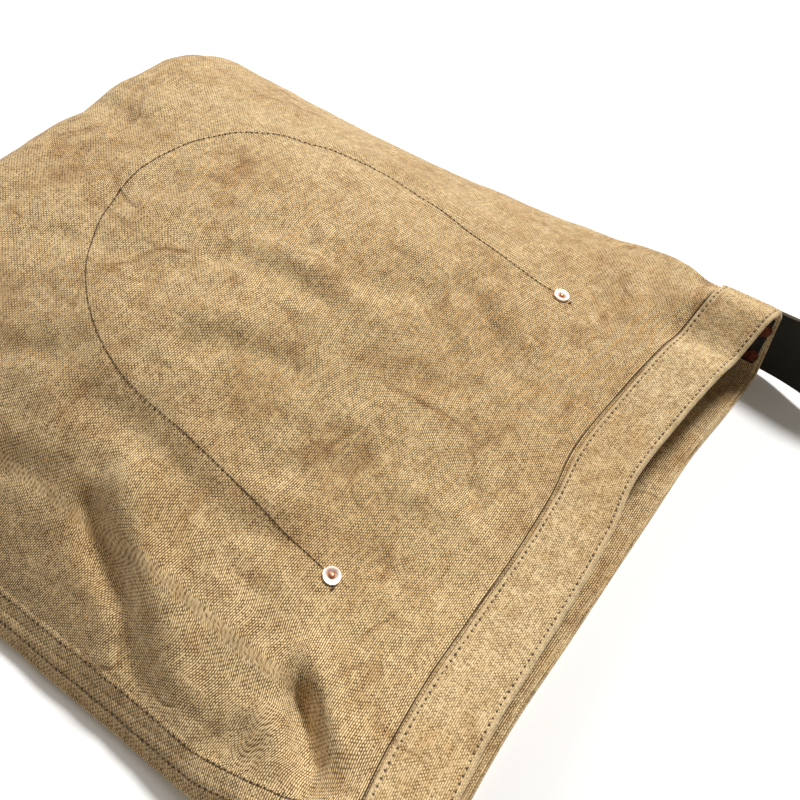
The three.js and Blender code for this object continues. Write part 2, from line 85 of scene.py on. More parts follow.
# Columns of the table of sections: at, near, far, puff, crown, near fold, far fold
near_side, far_side, puff_column, crown_column = (1, 5), (2, 6), 3, 4
bag_sections = np.array([
    (0.0, 0.92, 0.822, 0.08, 2.5, 1.0, 1.0),
    (0.085, 0.92, 0.822, 0.07, 2.5, 1.0, 1.0),
    (0.17, 0.97, 0.915, 0.12, 2.5, 0.62, 0.75),
    (0.28, 1.0, 0.97, 0.34, 2.5, 0.16, 0.32),
    (0.4, 1.0, 0.985, 0.61, 2.5, 0.06, 0.15),
    (0.53, 1.0, 0.98, 0.85, 2.5, 0.06, 0.12),
    (0.68, 1.0, 0.97, 0.97, 2.6, 0.06, 0.12),
    (0.82, 0.995, 0.96, 1.02, 2.9, 0.06, 0.12),
    (0.92, 0.98, 0.95, 1.03, 3.5, 0.05, 0.1),
    (0.965, 0.965, 0.935, 0.97, 4.1, 0.03, 0.06),
    (0.99, 0.945, 0.915, 0.68, 4.6, 0.0, 0.0),
    (1.0, 0.92, 0.89, 0.0, 5.0, 0.0, 0.0),
])
# Columns of the table of rims: across, front, back, drawn back by these shares of mouth_sag
front_rim, back_rim = 1, 2
rim_sag = np.array([
    (-1.0, 0.1, 0.1), (-0.75, 0.7, 0.5), (-0.5, 0.95, 0.6), (-0.2, 0.95, 0.45), (0.05, 1.05, 0.35),
    (0.25, 1.35, 0.25), (0.5, 1.05, 0.15), (0.75, 0.55, -0.2), (0.94, 0.08, -0.42), (1.0, -0.1, -0.2),
])
# Folds of the front cloth in millimetres: points x, y along each, then reach and rise
bag_folds = [
    ([(-128, 14), (-139, -8), (-147, -23), (-155, -33), (-163, -44)], 7.0, -6.5),
    ([(-112, 2), (-126, -16), (-144, -50), (-160, -62)], 10.0, 4.5),
    ([(-160, -30), (-164, -60), (-163, -92)], 6.0, -2.5),
    ([(-96, 38), (-92, 6), (-95, -33), (-97, -42), (-90, -55)], 9.0, -3.0),
    ([(-84, -2), (-88, -30), (-84, -50)], 9.0, 2.2),
    ([(-111, -45), (-112, -57), (-114, -66)], 5.5, -1.8),
    ([(-134, -103), (-141, -111), (-151, -121)], 5.5, -9.5),
    ([(-119, -98), (-129, -115), (-139, -128)], 7.0, 5.5),
    ([(-146, -96), (-156, -112)], 6.0, 2.5),
    ([(-172, -80), (-163, -84)], 3.2, -2.6),
    ([(-166, -88), (-156, -92)], 3.2, -2.6),
    ([(-164, -100), (-155, -104)], 3.2, -2.4),
    ([(-160, -124), (-152, -133), (-144, -140)], 5.0, -5.5),
    ([(24, 172), (33, 161), (34, 146), (30, 131)], 9.0, -3.0),
    ([(52, 154), (72, 130)], 8.0, -1.8),
    ([(-8, 38), (-3, 29), (0, 13), (3, 0), (11, -15)], 7.0, -2.6),
    ([(10, 24), (14, 4), (17, -19), (19, -36)], 8.0, 2.2),
    ([(-52, 22), (-48, 15), (-34, -8), (-30, -21)], 6.0, -2.4),
    ([(-38, 26), (-24, -2)], 7.0, 1.6),
    ([(-14, -104), (-23, -113)], 5.0, -2.4),
    ([(-2, -98), (-14, -104)], 5.0, -1.6),
    ([(68, -52), (64, -61), (47, -86)], 6.0, -2.6),
    ([(54, -24), (47, -31), (33, -64)], 6.5, -2.4),
    ([(80, -58), (66, -88)], 7.0, 1.8),
    ([(161, -77), (130, -92), (104, -101)], 8.0, -3.0),
    ([(150, -104), (118, -118)], 8.0, 1.8),
    ([(-24, 101), (-9, 95), (8, 84)], 7.0, -1.8),
    ([(-60, 120), (-40, 96), (-34, 70)], 8.0, -1.8),
    ([(-110, 92), (-92, 78), (-88, 60)], 7.0, -2.0),
    ([(-148, 70), (-132, 52), (-128, 36)], 7.0, -2.4),
    ([(-60, -46), (-44, -62)], 6.0, -1.8),
    ([(84, 60), (100, 30), (104, 2)], 8.0, -1.8),
    ([(-40, 58), (-12, 40), (22, 30)], 6.0, -1.8),
    ([(30, -20), (58, -40), (90, -52)], 6.0, -1.7),
    ([(-20, -40), (8, -56), (30, -84)], 6.0, -1.7),
    ([(128, 40), (138, 8), (136, -24)], 9.0, -2.2),
    ([(-70, -96), (-60, -118), (-62, -140)], 8.0, -1.6),
    ([(-36, -84), (-30, -112), (-36, -136)], 7.0, 1.2),
]


def smooth_column(table, column, row):
    """A table's column between its rows, without overshoot."""
    y = table[:, column]
    step = np.diff(y)
    before, after = step[:-1], step[1:]
    total = np.where(before + after == 0, 1, before + after)
    inner = np.where(before * after > 0, 2 * before * after / total, 0)
    slope = np.concatenate([step[:1], inner, step[-1:]])
    i = np.clip(np.floor(row).astype(int), 0, len(y) - 2)
    f = row - i
    return (y[i] * (2 * f**3 - 3 * f**2 + 1) + slope[i] * (f**3 - 2 * f**2 + f)
            + y[i + 1] * (3 * f**2 - 2 * f**3) + slope[i + 1] * (f**3 - f**2))


def section_row(at):
    """Row of the table of sections at a share of the depth."""
    rows = np.linspace(0, len(bag_sections) - 1, 4401)
    return np.interp(at, smooth_column(bag_sections, 0, rows), rows)


def smooth_step(x, low, high):
    t = np.clip((x - low) / (high - low), 0, 1)
    return t * t * (3 - 2 * t)


def rim_setback(column, across, at):
    """How far the front or the back cloth is drawn back, less and less towards the bottom."""
    rows = np.linspace(0, len(rim_sag) - 1, 1601)
    row = np.interp(across, smooth_column(rim_sag, 0, rows), rows)
    return smooth_column(rim_sag, column, row) * mouth_sag * (1 - at) ** 2


def side_fold(at, share_column, fold_column):
    """Reach, lift, stand and stack of the cloth at one side of the bag."""
    row = section_row(at)
    share = np.maximum(smooth_column(bag_sections, fold_column, row), 0)
    low, high = np.maximum(row - 0.05, 0), np.minimum(row + 0.05, len(bag_sections) - 1)
    run = (smooth_column(bag_sections, 0, high) - smooth_column(bag_sections, 0, low)) * bag_depth
    drop = (smooth_column(bag_sections, fold_column, low)
            - smooth_column(bag_sections, fold_column, high))
    stand = corner_stand * np.sqrt(share)
    reach = smooth_column(bag_sections, share_column, row) * bag_width / 2
    fall = np.abs(drop) * corner_height / run
    return reach, share * corner_height, stand, cloth * (1 + np.cos(stand) + fall) + fold_gap


def fold_height(x, y):
    """Sum of all folds at places on the front cloth."""
    height = np.zeros_like(x)
    for points, reach, rise in bag_folds:
        nearest = np.full_like(x, 1e9)
        for (x1, y1), (x2, y2) in zip(points, points[1:]):
            from_x, from_y = x - x1 / 1000, y - y1 / 1000
            run_x, run_y = (x2 - x1) / 1000, (y2 - y1) / 1000
            t = np.clip((from_x * run_x + from_y * run_y) / (run_x**2 + run_y**2), 0, 1)
            nearest = np.minimum(nearest, np.hypot(from_x - t * run_x, from_y - t * run_y))
        height += rise / 1000 * np.exp(-(nearest / (reach / 1000)) ** 2)
    return height


def front_surface(across, at):
    """The front cloth: across runs from -1 at the near side to 1, at from 0 at the mouth to 1."""
    near_x, near_lift, _, near_stack = side_fold(at, *near_side)
    far_x, far_lift, _, far_stack = side_fold(at, *far_side)
    row = section_row(at)
    share = (across + 1) / 2
    x = -near_x + (near_x + far_x) * share
    y = (at - 0.5) * bag_depth + rim_setback(front_rim, across, at)
    crown = 1 - np.abs(across) ** smooth_column(bag_sections, crown_column, row)
    puff = np.maximum(smooth_column(bag_sections, puff_column, row), 0) * puff_height
    calm = smooth_step(at, band_share, band_share * 1.8) * np.minimum(1, crown * 2.2)
    z = hem_raise * (1 - smooth_step(at, band_share, band_share * 1.4))
    z = z + near_stack + (far_stack - near_stack) * share
    z = z + near_lift * (1 - share) ** 3 + far_lift * share**2 + puff * crown
    z = z + fold_height(x, y) * calm
    # The near flank stands up steeply behind the mouth
    flank = smooth_step(at, 0.12, 0.24) * (1 - smooth_step(at, 0.38, 0.55))
    rise = 1 - (1 - np.clip(share / 0.085, 0, 1)) ** 2
    z = z + flank_rise * flank * rise * (1 - smooth_step(share, 0.12, 0.34))
    # Beside the far corner the cloth climbs late and steeply, then runs level to the tip
    tip = (1 - smooth_step(at, 0.08, 0.16)) * smooth_step(crown, 0, 0.1)
    climb = tip_climb * np.exp(-((x - 0.139) / 0.009) ** 2)
    dip = tip_dip * np.exp(-((x - 0.116) / 0.010) ** 2)
    z = z + tip * (climb - dip)
    # Behind the hem the cloth swells a little
    swell = smooth_step(at, 0.0853, 0.0885) * (1 - smooth_step(at, 0.092, 0.15))
    z = z + hem_swell * swell * smooth_step(crown, 0, 0.3)
    return np.stack([x, y, z], -1)


def back_line(at):
    """One line of the back cloth, from the far fold over the floor to the near fold."""
    halves = []
    raise_z = hem_raise * (1 - smooth_step(at, band_share, band_share * 1.4))
    for side in (far_side, near_side):
        fold_x, lift, stand, _ = side_fold(at, *side)
        lean = max(float(stand), 0.05)
        reach, slant = lift / math.tan(lean), lift / math.sin(lean)
        tangent = min(corner_radius * math.tan(stand / 2), slant * 0.45)
        radius = tangent / math.tan(lean / 2)
        turns = np.linspace(stand, 0, bend_steps + 1)
        curve = np.stack([-reach - tangent + radius * np.sin(turns), radius * (1 - np.cos(turns))], -1)
        down = np.linspace((0, lift), curve[0], wall_steps + 1)[:-1]
        halves.append(np.concatenate([down, curve]) + (fold_x, 0))
    far, near = halves
    middle = np.linspace(far[-1], (-near[-1][0], near[-1][1]), floor_steps + 1)[1:-1]
    line = np.concatenate([far, middle, (near * (-1, 1))[::-1]])
    across = np.interp(line[:, 0], (-near[0][0], far[0][0]), (-1, 1))
    y = (at - 0.5) * bag_depth + rim_setback(back_rim, across, np.full_like(across, at))
    return np.stack([line[:, 0], y, line[:, 1] + raise_z], -1)


def bag_ring(at, front_columns):
    """One closed line round the bag: front from near to far, far fold, back, near fold."""
    front = front_surface(front_columns, np.full_like(front_columns, at))
    back = back_line(at)
    bulge = 0.0003 + 0.0010 * smooth_step(at, band_share * 1.1, band_share * 1.6)
    turns = np.linspace(0, math.pi, 6)[1:-1]
    rolls = []
    for top, bottom in ((front[-1], back[0]), (front[0], back[-1])):
        middle, out = (top + bottom) / 2, np.array([math.copysign(bulge, top[0]), 0, 0])
        rolls.append([middle + (top - middle) * math.cos(t) + out * math.sin(t) for t in turns])
    return np.concatenate([front, rolls[0], back, rolls[1][::-1], front[:1]])


def run_lengths(points, axis):
    """Length of the way along each line of a grid of points, from its start."""
    steps = np.linalg.norm(np.diff(points, axis=axis), axis=2)
    start = np.zeros_like(np.take(steps, [0], axis))
    return np.concatenate([start, np.cumsum(steps, axis=axis)], axis=axis)


def cloth_grid(name, points, uv_mm):
    """A sheet from a grid primitive, its corners moved to the given places, with its own UV map."""
    rows, columns = points.shape[:2]
    bpy.ops.mesh.primitive_grid_add(x_subdivisions=columns - 1, y_subdivisions=rows - 1, size=2)
    piece = bpy.context.object
    piece.name = piece.data.name = name
    mesh = piece.data
    flat = np.zeros(len(mesh.vertices) * 3)
    mesh.vertices.foreach_get("co", flat)
    flat = flat.reshape(-1, 3)
    i = np.rint((flat[:, 0] + 1) / 2 * (columns - 1)).astype(int)
    j = np.rint((flat[:, 1] + 1) / 2 * (rows - 1)).astype(int)
    mesh.vertices.foreach_set("co", points[j, i].ravel())
    corner = np.zeros(len(mesh.loops), int)
    mesh.loops.foreach_get("vertex_index", corner)
    mesh.uv_layers[0].name = "cloth_mm"
    mesh.uv_layers[0].data.foreach_set("uv", uv_mm[j, i][corner].ravel())
    mesh.update()
    return piece


def crumpled(points, normal, depth_m, seed):
    """Small uneven waves of washed cloth, added along the surface's normal."""
    waves = np.array([
        [0.6 * noise.noise(Vector(p) * 38 + Vector((seed, 0, 0)))
         + 0.4 * noise.noise(Vector((p[0] * 95, p[1] * 70, p[2] * 80 + seed))) for p in line]
        for line in points])
    return points + normal * (waves * depth_m)[..., None]


def ring_normals(points):
    """Outward directions on a stack of closed rings."""
    u = np.gradient(points, axis=1)
    u[:, 0] = u[:, -1] = points[:, 1] - points[:, -2]
    v = np.gradient(points, axis=0)
    n = np.cross(u, v)
    return n / np.maximum(np.linalg.norm(n, axis=2, keepdims=True), 1e-12)


def close_mesh(merge_m=0):
    """Merge the doubled corners of the active piece and point its faces outwards."""
    bpy.ops.object.mode_set(mode="EDIT")
    bpy.ops.mesh.select_all(action="SELECT")
    if merge_m:
        bpy.ops.mesh.remove_doubles(threshold=merge_m)
    bpy.ops.mesh.normals_make_consistent(inside=False)
    bpy.ops.object.mode_set(mode="OBJECT")


def give_wall(piece, thickness_m):
    """Make the active sheet a wall that grows to its inner side."""
    wall = piece.modifiers.new("wall", "SOLIDIFY")
    wall.thickness = thickness_m
    wall.offset = -1
    bpy.ops.object.modifier_apply(modifier="wall")
    bpy.ops.object.shade_smooth()


# Rows lie evenly along the cloth, and closer together at the step behind the hem
fine_at = np.linspace(0, 1, 2001)
spine = front_surface(np.full_like(fine_at, -0.2), fine_at)
spine_run = run_lengths(spine[None], 1)[0]
bag_rows = np.interp(np.linspace(0, spine_run[-1], row_count), spine_run, fine_at)
bag_rows = np.unique(np.concatenate([bag_rows[(bag_rows < 0.082) | (bag_rows > 0.092)],
                                     np.linspace(0.0835, 0.0905, 9)]))
fine_across = np.linspace(-1, 1, 2001)
middle_run = run_lengths(front_surface(fine_across, np.full_like(fine_across, 0.6))[None], 1)[0]
bag_columns = np.interp(np.linspace(0, middle_run[-1], column_count), middle_run, fine_across)
bag_points = np.stack([bag_ring(at, bag_columns) for at in bag_rows])
around, along = run_lengths(bag_points, 1), run_lengths(bag_points, 0)
middle_column = int(np.argmin(np.abs(bag_columns)))
around = around - around[:, middle_column:middle_column + 1]
bag_uv = np.stack([around, along], -1) * 1000
normals = ring_normals(bag_points)
settle = smooth_step(bag_rows, band_share * 1.2, band_share * 2.2)
settle = settle * (1 - smooth_step(bag_rows, 0.97, 1))
floor_clear = np.clip(bag_points[..., 2:] / 0.012, 0, 1)
rough = crumpled(bag_points, normals * floor_clear, depth_m=0.0016, seed=3.0)
bag_points = bag_points + (rough - bag_points) * settle[:, None, None]
# The bottom edge closes in a small roll
last = bag_points[-1]
for out, keep in ((0.0009, 0.8), (0.0014, 0.35), (0.0015, 0.0)):
    edge = last + (0, out, 0)
    edge[:, 2] = 0.0019 + (last[:, 2] - 0.0019) * keep
    bag_points = np.concatenate([bag_points, edge[None]])
    bag_uv = np.concatenate([bag_uv, bag_uv[-1:] + (0, 0.8)])

bag_body = cloth_grid("bag_body", bag_points, bag_uv)
close_mesh(merge_m=0.00002)
give_wall(bag_body, cloth)


class MaterialNodes:
    """Nodes of one material, joined in the order in which they are asked for."""

    def __init__(self, name):
        self.material = bpy.data.materials.new(name)
        self.material.use_nodes = True
        self.tree = self.material.node_tree
        self.tree.nodes.clear()

    def add(self, kind, settings=None, **inputs):
        """A node whose inputs are given by number, as _0, or by name, as Base_Color."""
        made = self.tree.nodes.new(kind)
        for key, value in (settings or {}).items():
            setattr(made, key, value)
        for key, value in inputs.items():
            socket = made.inputs[int(key[1:]) if key[0] == "_" else key.replace("_", " ")]
            if isinstance(value, bpy.types.NodeSocket):
                self.tree.links.new(value, socket)
            else:
                socket.default_value = value
        return made

    def math(self, operation, first, second=0.0):
        return self.add("ShaderNodeMath", {"operation": operation}, _0=first, _1=second).outputs[0]

    def mix(self, factor, first, second, blend="MIX"):
        return self.add("ShaderNodeMix", {"data_type": "RGBA", "blend_type": blend},
                        _0=factor, _6=first, _7=second).outputs[2]

    def ramp(self, factor, low, high, shape="SMOOTHSTEP"):
        return self.add("ShaderNodeMapRange", {"interpolation_type": shape},
                        Value=factor, From_Min=low, From_Max=high).outputs[0]

    def noise(self, place, scale, detail, settings=None, **inputs):
        return self.add("ShaderNodeTexNoise", settings, Vector=place, Scale=scale, Detail=detail,
                        **inputs).outputs

    def surface(self, **inputs):
        """The finished material, from what goes into its shader."""
        shader = self.add("ShaderNodeBsdfPrincipled", **inputs)
        self.add("ShaderNodeOutputMaterial", Surface=shader.outputs[0])
        return self.material


def canvas_material(name, light, dark, brown, warp_pitch, weft_pitch, rib, marks):
    """Plain-weave canvas: single threads that vary, mottled dye, painted shade along fine creases, a
    soft crumple and marked lines.
    """
    n = MaterialNodes(name)
    flat = {"noise_dimensions": "2D"}
    uv = n.add("ShaderNodeUVMap", {"uv_map": "cloth_mm"}).outputs[0]
    place = n.add("ShaderNodeTexCoord").outputs["Object"]
    # The threads run slightly crooked
    drift = n.noise(uv, 0.022, 0.0, flat)["Color"]
    bent = n.add("ShaderNodeVectorMath", {"operation": "MULTIPLY_ADD"},
                 _0=drift, _1=(1.4, 1.4, 0), _2=uv).outputs[0]
    split = n.add("ShaderNodeSeparateXYZ", _0=bent)
    u, v = split.outputs[0], split.outputs[1]
    warp, weft = n.math("DIVIDE", u, warp_pitch), n.math("DIVIDE", v, weft_pitch)
    warp_wave = n.math("SINE", n.math("MULTIPLY", warp, math.pi))
    weft_wave = n.math("SINE", n.math("MULTIPLY", weft, math.pi))
    over = n.math("MULTIPLY", warp_wave, weft_wave)
    # Each thread has its own tone, which changes slowly along it, and so has each crossing
    apart, along = 5.17, 0.09
    warp_id, weft_id = n.math("FLOOR", warp), n.math("FLOOR", weft)
    warp_place = n.add("ShaderNodeCombineXYZ", _0=n.math("MULTIPLY", warp_id, apart),
                       _1=n.math("MULTIPLY", v, along)).outputs[0]
    weft_place = n.add("ShaderNodeCombineXYZ", _0=n.math("MULTIPLY", u, along),
                       _1=n.math("MULTIPLY", weft_id, apart)).outputs[0]
    warp_tone = n.noise(warp_place, 1.0, 1.0, flat)[0]
    weft_tone = n.noise(weft_place, 1.0, 1.0, flat)[0]
    on_top = n.ramp(over, -0.25, 0.25)
    below = n.math("SUBTRACT", 1.0, on_top)
    thread = n.math("ADD", n.math("MULTIPLY", on_top, warp_tone),
                    n.math("MULTIPLY", below, n.math("SUBTRACT", weft_tone, 0.05)))
    crossing = n.add("ShaderNodeCombineXYZ", _0=warp_id, _1=weft_id).outputs[0]
    cell = n.add("ShaderNodeTexWhiteNoise", flat, Vector=crossing).outputs["Value"]
    weft_rib = n.math("MULTIPLY", weft_wave, weft_wave)
    warp_rib = n.math("MULTIPLY", warp_wave, warp_wave)
    grain = n.math("ADD", n.math("MULTIPLY", weft_rib, rib), n.math("MULTIPLY", warp_rib, 0.14))
    for part, share in ((over, rib * 0.42), (thread, 0.85), (cell, 0.55)):
        grain = n.math("ADD", grain, n.math("MULTIPLY", part, share))
    middle, reach = 0.72 + rib / 2, 0.43
    woven = n.mix(n.ramp(grain, middle - reach, middle + reach, "LINEAR"), dark, light)
    # The dye is browner in patches and specks; painted shade darkens the cloth along fine creases,
    # whose valleys the bump also sinks
    patches = n.noise(place, 19.0, 4.0, Roughness=0.6)[0]
    specks = n.noise(place, 150.0, 3.0)[0]
    mottled = n.mix(n.math("MULTIPLY", n.ramp(patches, 0.42, 0.7), 0.4), woven, brown, "MULTIPLY")
    mottled = n.mix(n.math("MULTIPLY", n.ramp(specks, 0.46, 0.66), 0.32), mottled, brown, "MULTIPLY")
    # Painted shade: darker colour in the valleys of fine crease lines
    lines = n.noise(place, 24.0, 2.0, Distortion=0.6)[0]
    creased = n.math("ABSOLUTE", n.math("SUBTRACT", lines, 0.5))
    where = n.ramp(n.noise(place, 31.0, 1.0)[0], 0.5, 0.62)
    creased = n.math("MULTIPLY", n.ramp(creased, 0.055, 0.0), where)
    mottled = n.mix(n.math("MULTIPLY", creased, 0.42), mottled, (0.52, 0.36, 0.22, 1), "MULTIPLY")
    # Marks are lines along the cloth: from, to and softness in millimetres, colour, share. A dark
    # mark is painted shade, as the body's line behind the hem's folded edge
    v_plain = n.add("ShaderNodeSeparateXYZ", _0=uv).outputs[1]
    for low, high, soft_mm, colour, share in marks:
        inside = n.math("MULTIPLY", n.ramp(v_plain, low - soft_mm, low + soft_mm),
                        n.ramp(v_plain, high + soft_mm, high - soft_mm))
        patchy = n.math("MULTIPLY", n.ramp(patches, 0.25, 0.5), 0.3)
        mottled = n.mix(n.math("MULTIPLY", inside, n.math("ADD", patchy, share - 0.3)), mottled, colour)
    relief = n.math("ADD", n.math("MULTIPLY", weft_rib, 0.5), n.math("MULTIPLY", over, 0.2))
    relief = n.math("ADD", relief, n.math("MULTIPLY", thread, 0.6))
    ripple = n.noise(place, 85.0, 3.0, Roughness=0.55)[0]
    ripple = n.math("SUBTRACT", ripple, n.math("MULTIPLY", creased, 0.3))
    soft = n.add("ShaderNodeBump", Strength=0.8, Distance=0.0018, Height=ripple).outputs[0]
    weave = n.add("ShaderNodeBump", Strength=0.45, Distance=0.00024, Height=relief,
                  Normal=soft).outputs[0]
    return n.surface(Base_Color=mottled, Roughness=0.92, Normal=weave, Specular_IOR_Level=0.18,
                     Sheen_Weight=0.12, Sheen_Roughness=0.6)


# The body's one mark is painted shade: a near-black line in the narrow gap behind the hem's folded edge
body_canvas = canvas_material(
    "body_canvas", light=(0.90, 0.665, 0.355, 1), dark=(0.118, 0.066, 0.021, 1),
    brown=(0.70, 0.55, 0.38, 1), warp_pitch=0.78, weft_pitch=0.925, rib=1.15,
    marks=[(30.3, 31.1, 0.18, (0.040, 0.020, 0.008, 1), 0.95)])
bag_body.data.materials.append(body_canvas)
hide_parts("front_panel", "back_panel")
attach(bag_body, "root")

# Mouth band
# The cloth is turned outwards round the mouth as a hem 30 mm wide, with its raw edge folded
# under, and sewn down with one row of stitches near the rim and one near the folded edge.

# Outline of the hem: millimetres from the rim, and millimetres outwards
band_profile = [
    (4.0, -1.2), (2.0, -1.35), (0.6, -1.4), (-0.3, -1.1), (-0.75, -0.4), (-0.8, 0.5), (-0.45, 1.3),
    (0.2, 1.8), (0.9, 1.98), (1.45, 1.84), (1.9, 1.78), (2.4, 1.84), (3.2, 2.1), (5.5, 2.2),
    (8.0, 2.2), (12.0, 2.2), (17.0, 2.2), (22.0, 2.2), (26.0, 2.15), (27.4, 2.1), (27.9, 1.86),
    (28.4, 1.8), (28.8, 1.86), (29.3, 2.05), (29.8, 2.0), (30.2, 1.7), (30.4, 1.2), (30.3, 0.6),
    (29.6, 0.3), (26.0, 0.12), (20.0, 0.12), (10.0, 0.12), (1.2, 0.1), (0.3, -0.1), (-0.1, -0.6),
    (0.4, -1.05), (2.0, -1.1),
]
band_columns = np.interp(np.linspace(0, middle_run[-1], 260), middle_run, fine_across)


def unit(vectors):
    return vectors / np.linalg.norm(vectors, axis=-1, keepdims=True)


def ring_frames(depth_mm):
    """Places and outward directions on the ring round the bag at a distance from the mouth."""
    at = max(depth_mm / 1000 / bag_depth, 0.0)
    here, further = bag_ring(at, band_columns), bag_ring(at + 0.0006, band_columns)
    inward = unit(further - here)
    side = np.roll(here[:-1], -1, axis=0) - np.roll(here[:-1], 1, axis=0)
    side = np.concatenate([side, side[:1]])
    return here + inward * min(depth_mm / 1000, 0.0), unit(np.cross(side, inward))


band_lines = []
for depth_mm, height_mm in band_profile + band_profile[:1]:
    line, outward = ring_frames(depth_mm)
    band_lines.append(line + outward * height_mm / 1000)
band_points = np.stack(band_lines)
band_points[..., 2] = np.maximum(band_points[..., 2], 2 * floor_gap)
band_around = run_lengths(band_points, 1)
band_middle = int(np.argmin(np.abs(band_columns)))
band_uv = np.stack([band_around - band_around[:, band_middle:band_middle + 1],
                    run_lengths(band_points, 0)], -1) * 1000
mouth_band = cloth_grid("mouth_hem", band_points, band_uv)
close_mesh(merge_m=0.00001)
bpy.ops.object.shade_smooth()
# The weave shows less along the two sewn lines of the hem
band_run = band_uv[:, band_middle, 1]
hem_marks = [(float(band_run[first]), float(band_run[last]), 0.25, (0.68, 0.52, 0.30, 1), 0.38)
             for first, last in ((4, 9), (22, 28))]
band_canvas = canvas_material(
    "band_canvas", light=(0.90, 0.685, 0.385, 1), dark=(0.215, 0.135, 0.053, 1),
    brown=(0.74, 0.60, 0.43, 1), warp_pitch=0.72, weft_pitch=0.85, rib=0.70, marks=hem_marks)
mouth_band.data.materials.append(band_canvas)
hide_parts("mouth_band")
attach(mouth_band, "root")

# Near side seam
# The two cloths are felled together along the near edge: one is folded over the other and
# both are sewn down flat, so the seam is a low double step under three rows of stitches.

# Outline of the seam: millimetres from the near edge, and millimetres outwards
seam_profile = [
    (2.0, -0.3), (2.3, 0.45), (2.9, 0.85), (3.8, 0.7), (4.9, 0.95), (6.4, 0.92), (7.1, 0.72),
    (7.6, 0.52), (8.2, 0.55), (9.6, 0.62), (10.8, 0.5), (11.4, 0.34), (12.1, 0.3), (12.9, 0.08),
    (13.6, -0.3),
]
front_net = bag_points[:len(bag_rows), :len(bag_columns)]


def on_front(across, at):
    """Place on the crumpled front cloth, read between the corners of its net."""
    i = np.interp(across, bag_columns, np.arange(len(bag_columns)))
    j = np.interp(at, bag_rows, np.arange(len(bag_rows)))
    i0 = np.clip(np.floor(i).astype(int), 0, len(bag_columns) - 2)
    j0 = np.clip(np.floor(j).astype(int), 0, len(bag_rows) - 2)
    fi, fj = (i - i0)[..., None], (j - j0)[..., None]
    low = front_net[j0, i0] * (1 - fi) + front_net[j0, i0 + 1] * fi
    high = front_net[j0 + 1, i0] * (1 - fi) + front_net[j0 + 1, i0 + 1] * fi
    return low * (1 - fj) + high * fj


def front_place(across_m, depth_m, from_near=False):
    """Places and outward directions on the front cloth, by metres across and from the mouth."""
    at = np.asarray(depth_m) / bag_depth
    near_x, far_x = side_fold(at, *near_side)[0], side_fold(at, *far_side)[0]
    x = np.asarray(across_m) + (-near_x if from_near else 0)
    across = np.clip((x + near_x) / (near_x + far_x) * 2 - 1, -0.9995, 0.9995)
    side = on_front(np.minimum(across + 0.008, 1), at) - on_front(np.maximum(across - 0.008, -1), at)
    low, high = np.maximum(at - 0.004, 0), np.minimum(at + 0.004, 1)
    up = on_front(across, high) - on_front(across, low)
    return on_front(across, at), unit(np.cross(side, up))


seam_depths = np.linspace(0.031, 0.352, 170)
seam_lines = []
for inward_mm, height_mm in seam_profile:
    line, outward = front_place(np.full_like(seam_depths, inward_mm / 1000), seam_depths, from_near=True)
    seam_lines.append(line + outward * height_mm / 1000)
seam_points = np.stack(seam_lines)
seam_uv = np.stack([run_lengths(seam_points, 0), run_lengths(seam_points, 1)], -1) * 1000
side_seam = cloth_grid("side_seam", seam_points, seam_uv)
close_mesh()
give_wall(side_seam, 0.0005)
side_seam.data.materials.append(body_canvas)
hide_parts("near_side_seam")
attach(side_seam, "root")

# Inner pocket
# A horseshoe of canvas on the inner face of the front, sewn on along the stitched U. It isn't
# seen in the photograph, where only its line of stitches shows.
pocket_width, pocket_shift, pocket_top, pocket_leg, pocket_taper = 0.194, 0.009, 0.091, 0.100, 0.006
pocket_margin, pocket_gap = 0.009, 0.0009
pocket_lines = []
for j in np.linspace(-1, 1, 61):
    u = np.linspace(-1, 1, 61)
    bow, straight = max(j, 0), min(j, 0)
    half = pocket_width / 2 - pocket_taper * (1 + straight)
    x = half * u * np.sqrt(1 - bow * bow / 2)
    y = pocket_leg * (1 + straight) + half * bow * np.sqrt(1 - u * u / 2)
    grow = (pocket_width / 2 + pocket_margin) / (pocket_width / 2)
    line, outward = front_place(pocket_shift + x * grow, pocket_top - pocket_margin + y * grow)
    pocket_lines.append(line - outward * (cloth + pocket_gap))
pocket_points = np.stack(pocket_lines)
pocket_uv = np.stack([run_lengths(pocket_points, 1), run_lengths(pocket_points, 0)], -1) * 1000
inner_pocket = cloth_grid("pocket_cloth", pocket_points, pocket_uv)
give_wall(inner_pocket, 0.001)
inner_pocket.data.materials.append(body_canvas)
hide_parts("inner_pocket")
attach(inner_pocket, "root")

# Stitches
# Lockstitches about 3 mm long, with painted shade for the needle hole at the end of each: tan
# thread that sinks into the cloth on the hem, brown thread on the felled seam, dark brown on the pocket.
bpy.ops.object.select_all(action="DESELECT")
bpy.ops.mesh.primitive_uv_sphere_add(segments=6, ring_count=4, radius=1)
thread_shape = bpy.context.object
thread_co = np.array([v.co[:] for v in thread_shape.data.vertices])
thread_faces = [tuple(p.vertices) for p in thread_shape.data.polygons]
bpy.data.objects.remove(thread_shape)


def mesh_piece(name, verts, edges, faces):
    """A new piece from its corners, alone selected and active."""
    mesh = bpy.data.meshes.new(name)
    mesh.from_pydata(verts, edges, faces)
    piece = bpy.data.objects.new(name, mesh)
    bpy.context.scene.collection.objects.link(piece)
    bpy.ops.object.select_all(action="DESELECT")
    piece.select_set(True)
    bpy.context.view_layer.objects.active = piece
    return piece


